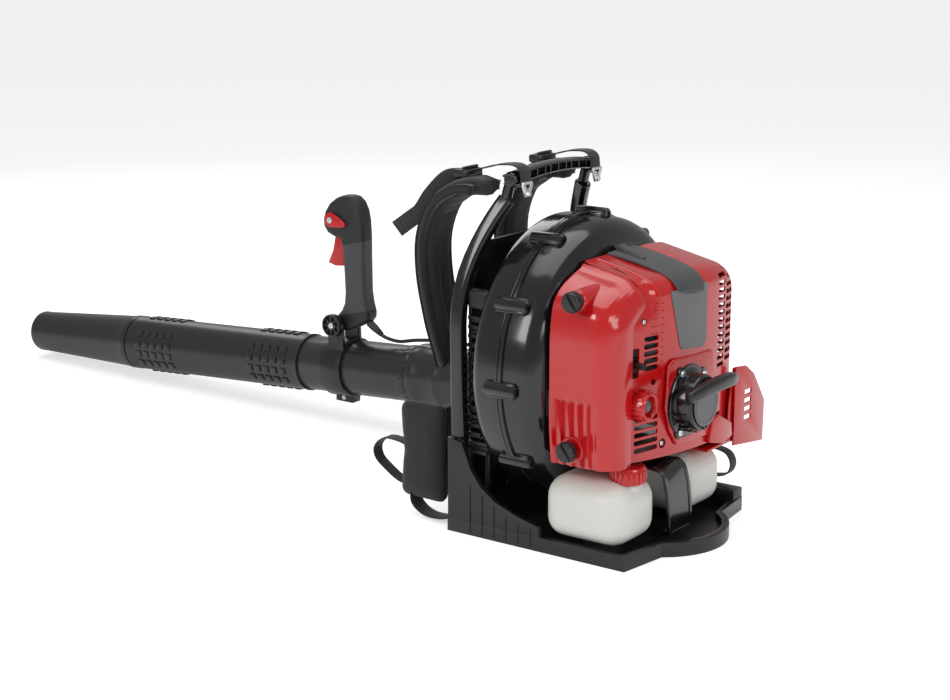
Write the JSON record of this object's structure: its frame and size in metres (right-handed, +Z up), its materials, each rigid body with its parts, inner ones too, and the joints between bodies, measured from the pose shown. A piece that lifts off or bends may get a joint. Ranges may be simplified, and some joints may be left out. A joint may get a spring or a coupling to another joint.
{
  "type": "backpack leaf blower",
  "caption": "Petrol backpack blower: fan housing and engine on a frame with harness, and a hinged, swivelling blow pipe with a control handle.",
  "frame": {"origin": "on the underside of the base, under the crankshaft's axis where it meets the fan's plane", "axes": "+X is the wearer's right, the side of the blow pipe; +Y is the way the wearer faces and the air leaves; +Z is up. -Y is the side of the engine covers and the recoil starter"},
  "size_m": [0.4632, 1.5781, 0.5074],
  "materials": {
    "black_plastic": "satin moulded plastic, lightly textured",
    "gloss_black": "glossy moulded plastic",
    "red_plastic": "glossy moulded engine covers",
    "grey_rubber": "matt rubber",
    "grey_plastic": "soft satin moulded plastic",
    "tank_plastic": "milky blow-moulded tank",
    "pipe_plastic": "dark satin pipe",
    "bright_steel": "zinc-plated, bright",
    "cast_aluminium": "cast, as moulded",
    "black_fabric": "woven nylon and mesh",
    "filter_foam": "open-cell filter foam"
  },
  "bodies": {
    "frame": {"base": "black_plastic", "rail_left": "gloss_black", "rail_right": "gloss_black", "back_frame": "black_plastic", "carry_handle": "gloss_black", "hook_left": "bright_steel", "hook_right": "bright_steel", "volute_rear": "gloss_black", "volute_front": "gloss_black", "crankcase": "cast_aluminium", "cylinder": "cast_aluminium", "spark_plug": "bright_steel", "ignition_coil": "black_plastic", "carburettor": "cast_aluminium", "air_filter": "filter_foam", "muffler": "bright_steel", "front_cover": "red_plastic", "side_cover": "red_plastic", "top_pad": "grey_rubber", "muffler_guard": "red_plastic", "starter_housing": "gloss_black", "starter_disc": "grey_plastic", "starter_rope": "black_fabric", "fuel_tank": "tank_plastic", "tank_strap": "gloss_black", "rubber_mount": "grey_rubber", "outlet_elbow": "pipe_plastic", "hose_clamp_rear": "bright_steel", "back_pad": "black_fabric", "hip_pad": "black_fabric", "shoulder_pad_left": "black_fabric", "shoulder_pad_right": "black_fabric", "strap_left": "black_fabric", "strap_right": "black_fabric", "buckle_left": "black_plastic", "buckle_right": "black_plastic"},
    "rotor": {"fan": "cast_aluminium", "crankshaft": "bright_steel", "flywheel": "cast_aluminium"},
    "piston": {"piston": "cast_aluminium"},
    "starter": {"starter_grip": "black_plastic"},
    "fuel_cap": {"fuel_cap": "red_plastic"},
    "knob_upper": {"side_knob_upper": "black_plastic"},
    "knob_lower": {"side_knob_lower": "black_plastic"},
    "choke": {"choke_lever": "black_plastic"},
    "primer": {"primer_bulb": "grey_plastic"},
    "throttle_arm": {"throttle_arm": "bright_steel"},
    "flex_hose": {"bellows": "grey_rubber"},
    "pipe_base": {"hose_clamp_front": "bright_steel", "pipe_collar": "pipe_plastic"},
    "pipe_tail": {"swivel_pipe": "pipe_plastic", "straight_pipe": "pipe_plastic", "nozzle": "pipe_plastic", "handle_clamp": "black_plastic", "throttle_cable": "black_plastic"},
    "control_grip": {"grip_left": "grey_plastic", "grip_right": "grey_plastic"},
    "trigger": {"throttle_trigger": "red_plastic"},
    "speed_lever": {"speed_lever": "red_plastic"},
    "pivot_knob": {"pivot_knob": "black_plastic"}
  },
  "joints": [
    {"name": "crank_spin", "type": "hinge", "parent": "frame", "child": "rotor", "pos_m": [0, 0, 0.197], "axis": [0, 1, 0], "continuous": true},
    {"name": "piston_stroke", "type": "slide", "parent": "frame", "child": "piston", "axis": [0, 0, 1], "range_m": [-0.016, 0.016]},
    {"name": "starter_pull", "type": "slide", "parent": "frame", "child": "starter", "axis": [0, -1, 0], "range_m": [0, 0.6], "stiffness_N_per_m": 30, "springref_m": -0.3, "deforming": ["starter_rope"]},
    {"name": "fuel_cap_turn", "type": "hinge", "parent": "frame", "child": "fuel_cap", "pos_m": [-0.102, -0.133, 0.1063], "axis": [0, 0, 1], "range_deg": [0, 270]},
    {"name": "knob_upper_turn", "type": "hinge", "parent": "frame", "child": "knob_upper", "pos_m": [-0.1645, -0.088, 0.352], "axis": [-1, 0, 0], "range_deg": [0, 360]},
    {"name": "knob_lower_turn", "type": "hinge", "parent": "frame", "child": "knob_lower", "pos_m": [-0.1645, -0.082, 0.152], "axis": [-1, 0, 0], "range_deg": [0, 360]},
    {"name": "choke_tilt", "type": "hinge", "parent": "frame", "child": "choke", "pos_m": [-0.103, -0.124, 0.2625], "axis": [1, 0, 0], "range_deg": [-12, 12]},
    {"name": "primer_press", "type": "slide", "parent": "frame", "child": "primer", "axis": [0, 1, 0], "range_m": [0, 0.005], "stiffness_N_per_m": 400, "springref_m": -0.002},
    {"name": "throttle_arm_turn", "type": "hinge", "parent": "frame", "child": "throttle_arm", "pos_m": [-0.072, -0.1, 0.2983], "axis": [0, 0, -1], "range_deg": [0, 75]},
    {"name": "pipe_lift", "type": "hinge", "parent": "frame", "child": "flex_hose", "pos_m": [0.211, 0.1674, 0.1108], "axis": [1, 0, 0], "range_deg": [-15, 30], "deforming": ["bellows", "throttle_cable"]},
    {"name": "pipe_swing", "type": "hinge", "parent": "flex_hose", "child": "pipe_base", "pos_m": [0.211, 0.1674, 0.1108], "axis": [0, 0, 1], "range_deg": [-20, 5]},
    {"name": "pipe_roll", "type": "hinge", "parent": "pipe_base", "child": "pipe_tail", "pos_m": [0.211, 0.125, 0.1132], "axis": [0, 0.9985, -0.0555], "range_deg": [-45, 45]},
    {"name": "handle_tilt", "type": "hinge", "parent": "pipe_tail", "child": "control_grip", "pos_m": [0.2, 0.606, 0.1643], "axis": [1, 0, 0], "range_deg": [-20, 20]},
    {"name": "throttle_squeeze", "type": "hinge", "parent": "control_grip", "child": "trigger", "pos_m": [0.2, 0.606, 0.313], "axis": [-1, 0, 0], "range_deg": [0, 18], "stiffness_Nm_per_rad": 0.3, "springref_deg": -22.92},
    {"name": "speed_lever_turn", "type": "hinge", "parent": "control_grip", "child": "speed_lever", "pos_m": [0.1837, 0.615, 0.338], "axis": [1, 0, 0], "range_deg": [0, 45]},
    {"name": "pivot_knob_turn", "type": "hinge", "parent": "pipe_tail", "child": "pivot_knob", "pos_m": [0.1755, 0.606, 0.1643], "axis": [-1, 0, 0], "range_deg": [0, 180]}
  ],
  "couplings": [
    {"joint": "throttle_arm_turn", "follows": "throttle_squeeze", "ratio": 4.1666}
  ]
}
